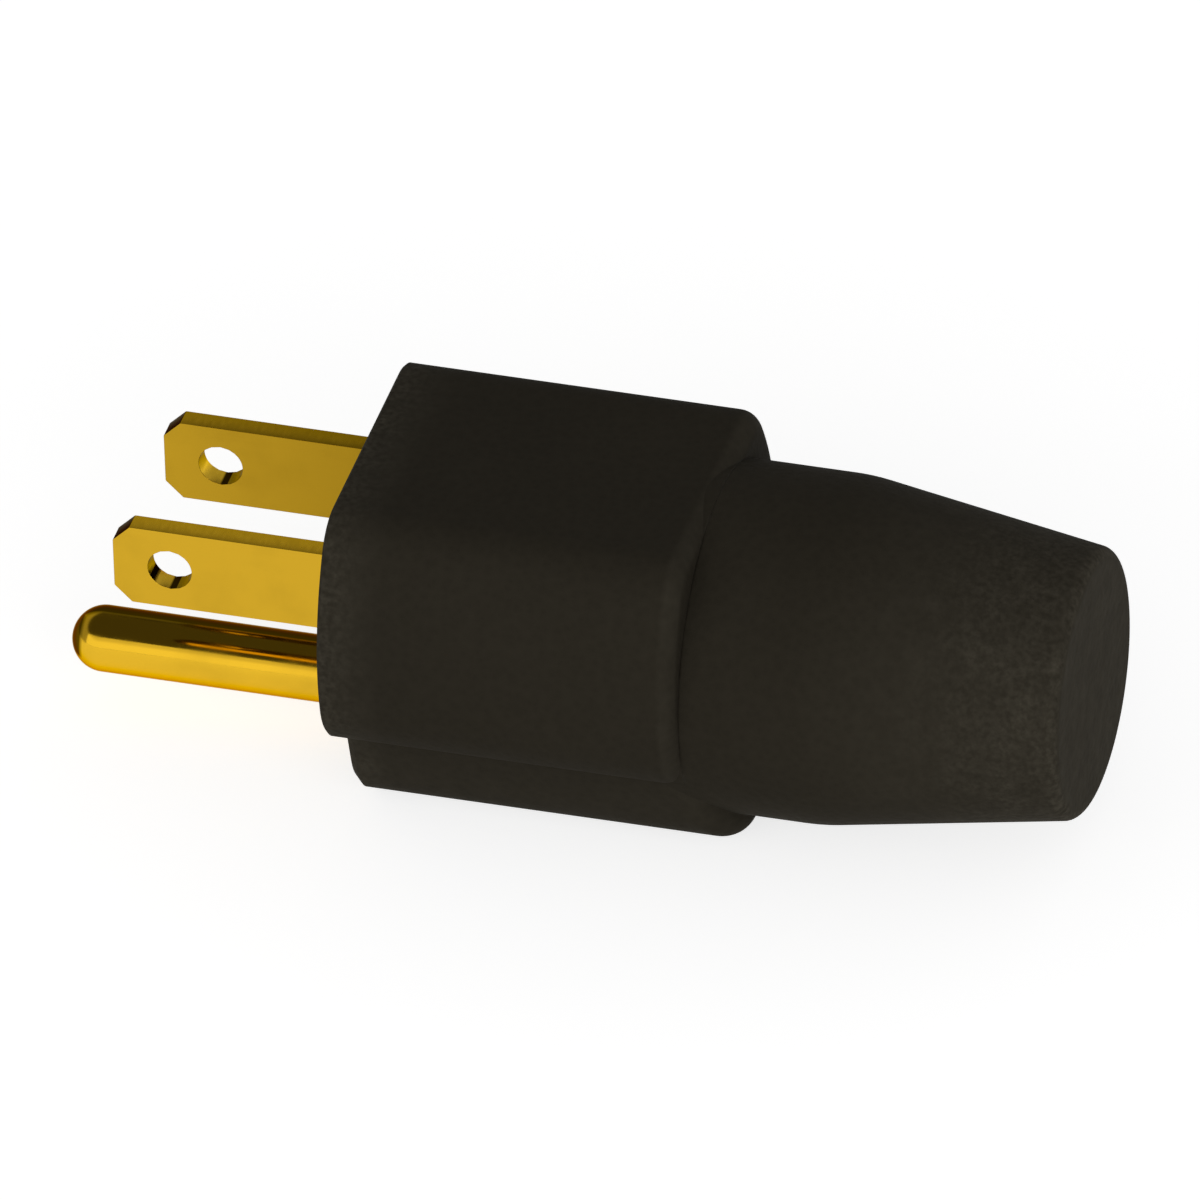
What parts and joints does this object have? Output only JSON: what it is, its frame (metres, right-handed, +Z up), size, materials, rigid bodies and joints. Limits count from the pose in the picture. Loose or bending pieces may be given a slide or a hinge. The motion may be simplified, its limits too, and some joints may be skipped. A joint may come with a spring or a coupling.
{
  "type": "bonding plug",
  "caption": "Straight-blade plug whose neutral blade and round ground pin are joined inside its moulded housing by a short jumper; its round tail is closed, without a cord.",
  "frame": {"origin": "centre of the mating face, on the centreline midway between the blades", "axes": "-X is the way the prongs point, +X runs along the body to the round tail, +Z is up with the ground pin below the blades, +Y is the line blade's side"},
  "size_m": [0.0741, 0.0274, 0.0248],
  "materials": {
    "housing_black": "fine moulded texture",
    "retainer_grey": "satin",
    "prong_brass": "polished",
    "strap_brass": "stamped",
    "plate_steel": "zinc plated",
    "screw_steel": "zinc plated",
    "screw_brass": "plain",
    "screw_green": "satin",
    "copper": "bare copper",
    "insulation_green": "gloss",
    "insert_brass": "knurled"
  },
  "bodies": {
    "root": {"head_body": "housing_black", "rear_housing": "housing_black", "terminal_retainer": "retainer_grey", "line_blade": "prong_brass", "neutral_blade": "prong_brass", "ground_pin": "prong_brass", "ground_strap": "strap_brass", "line_terminal_screw": "screw_brass", "neutral_terminal_screw": "screw_steel", "ground_terminal_screw": "screw_green", "line_pressure_plate": "plate_steel", "neutral_pressure_plate": "plate_steel", "ground_pressure_plate": "plate_steel", "jumper_conductor": "copper", "jumper_insulation": "insulation_green", "assembly_screw": "screw_steel", "threaded_insert": "insert_brass"}
  },
  "joints": []
}
